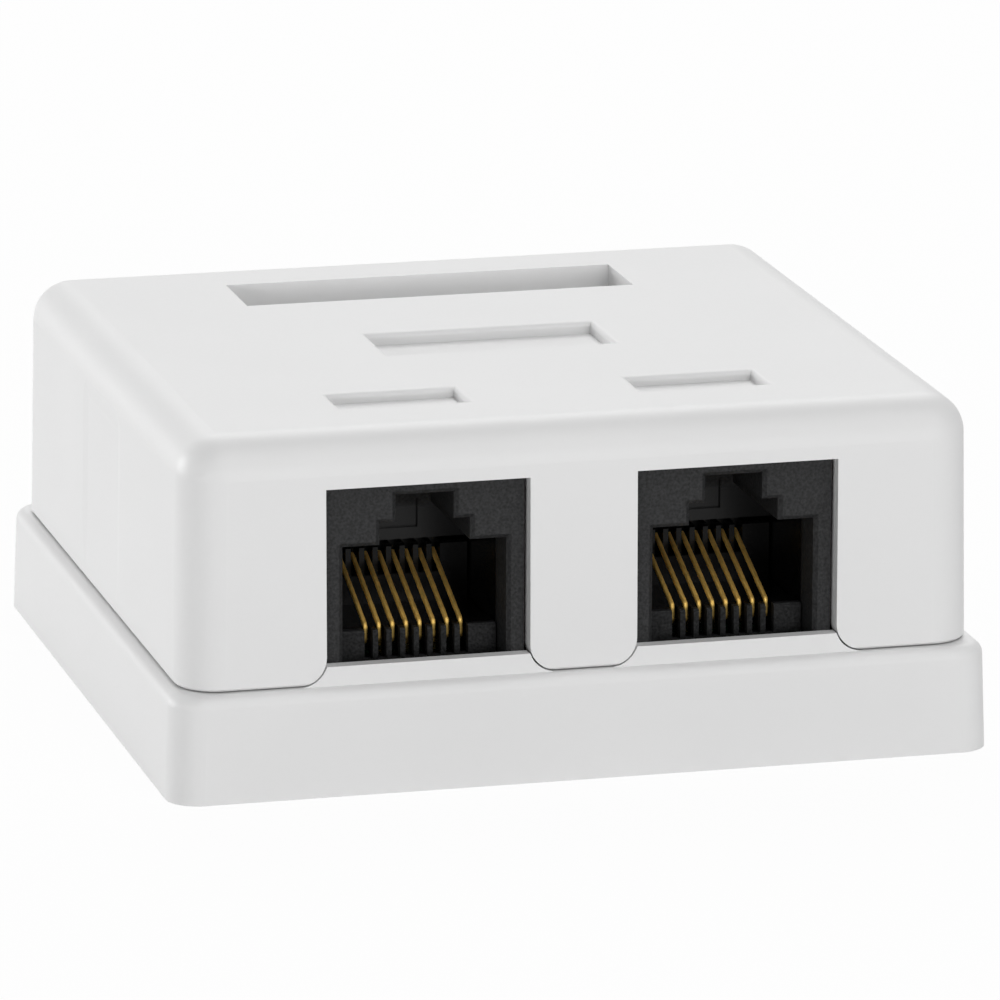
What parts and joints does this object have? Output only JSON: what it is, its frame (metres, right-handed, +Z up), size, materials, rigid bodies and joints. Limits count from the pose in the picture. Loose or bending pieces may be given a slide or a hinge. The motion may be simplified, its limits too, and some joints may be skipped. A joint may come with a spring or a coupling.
{
  "type": "surface mount jack box",
  "caption": "White square surface mount jack box: shallow tray and lift-off cover with modular network ports side by side in its front face.",
  "frame": {"origin": "middle of the tray's flat underside, the face that meets the wall or desk", "axes": "+X to the right as seen from the ports, +Z up out of the mounting face, the ports face -Y"},
  "size_m": [0.0616, 0.0588, 0.0263],
  "materials": {
    "white_abs": "fine matte moulded ABS",
    "black_plastic": "matte black moulded plastic",
    "gold_contact": "smooth gold plating",
    "board": "glossy green solder mask",
    "block_plastic": "satin off-white plastic",
    "tinned_blade": "tinned",
    "screw_steel": "zinc plated"
  },
  "bodies": {
    "base": {"base_tray": "white_abs", "circuit_board": "board", "jack_housing_left": "black_plastic", "contact_carrier_left": "black_plastic", "idc_block_left": "block_plastic", "board_screw_left": "screw_steel", "contact_wire_left_1": "gold_contact", "contact_wire_left_2": "gold_contact", "contact_wire_left_3": "gold_contact", "contact_wire_left_4": "gold_contact", "contact_wire_left_5": "gold_contact", "contact_wire_left_6": "gold_contact", "contact_wire_left_7": "gold_contact", "contact_wire_left_8": "gold_contact", "idc_blade_left_1": "tinned_blade", "idc_blade_left_2": "tinned_blade", "idc_blade_left_3": "tinned_blade", "idc_blade_left_4": "tinned_blade", "idc_blade_left_5": "tinned_blade", "idc_blade_left_6": "tinned_blade", "idc_blade_left_7": "tinned_blade", "idc_blade_left_8": "tinned_blade", "jack_housing_right": "black_plastic", "contact_carrier_right": "black_plastic", "idc_block_right": "block_plastic", "board_screw_right": "screw_steel", "contact_wire_right_1": "gold_contact", "contact_wire_right_2": "gold_contact", "contact_wire_right_3": "gold_contact", "contact_wire_right_4": "gold_contact", "contact_wire_right_5": "gold_contact", "contact_wire_right_6": "gold_contact", "contact_wire_right_7": "gold_contact", "contact_wire_right_8": "gold_contact", "idc_blade_right_1": "tinned_blade", "idc_blade_right_2": "tinned_blade", "idc_blade_right_3": "tinned_blade", "idc_blade_right_4": "tinned_blade", "idc_blade_right_5": "tinned_blade", "idc_blade_right_6": "tinned_blade", "idc_blade_right_7": "tinned_blade", "idc_blade_right_8": "tinned_blade"},
    "cover": {"cover": "white_abs"}
  },
  "joints": [
    {"name": "cover_lift", "type": "slide", "parent": "base", "child": "cover", "axis": [0, 0, 1], "range_m": [0, 0.03]}
  ]
}
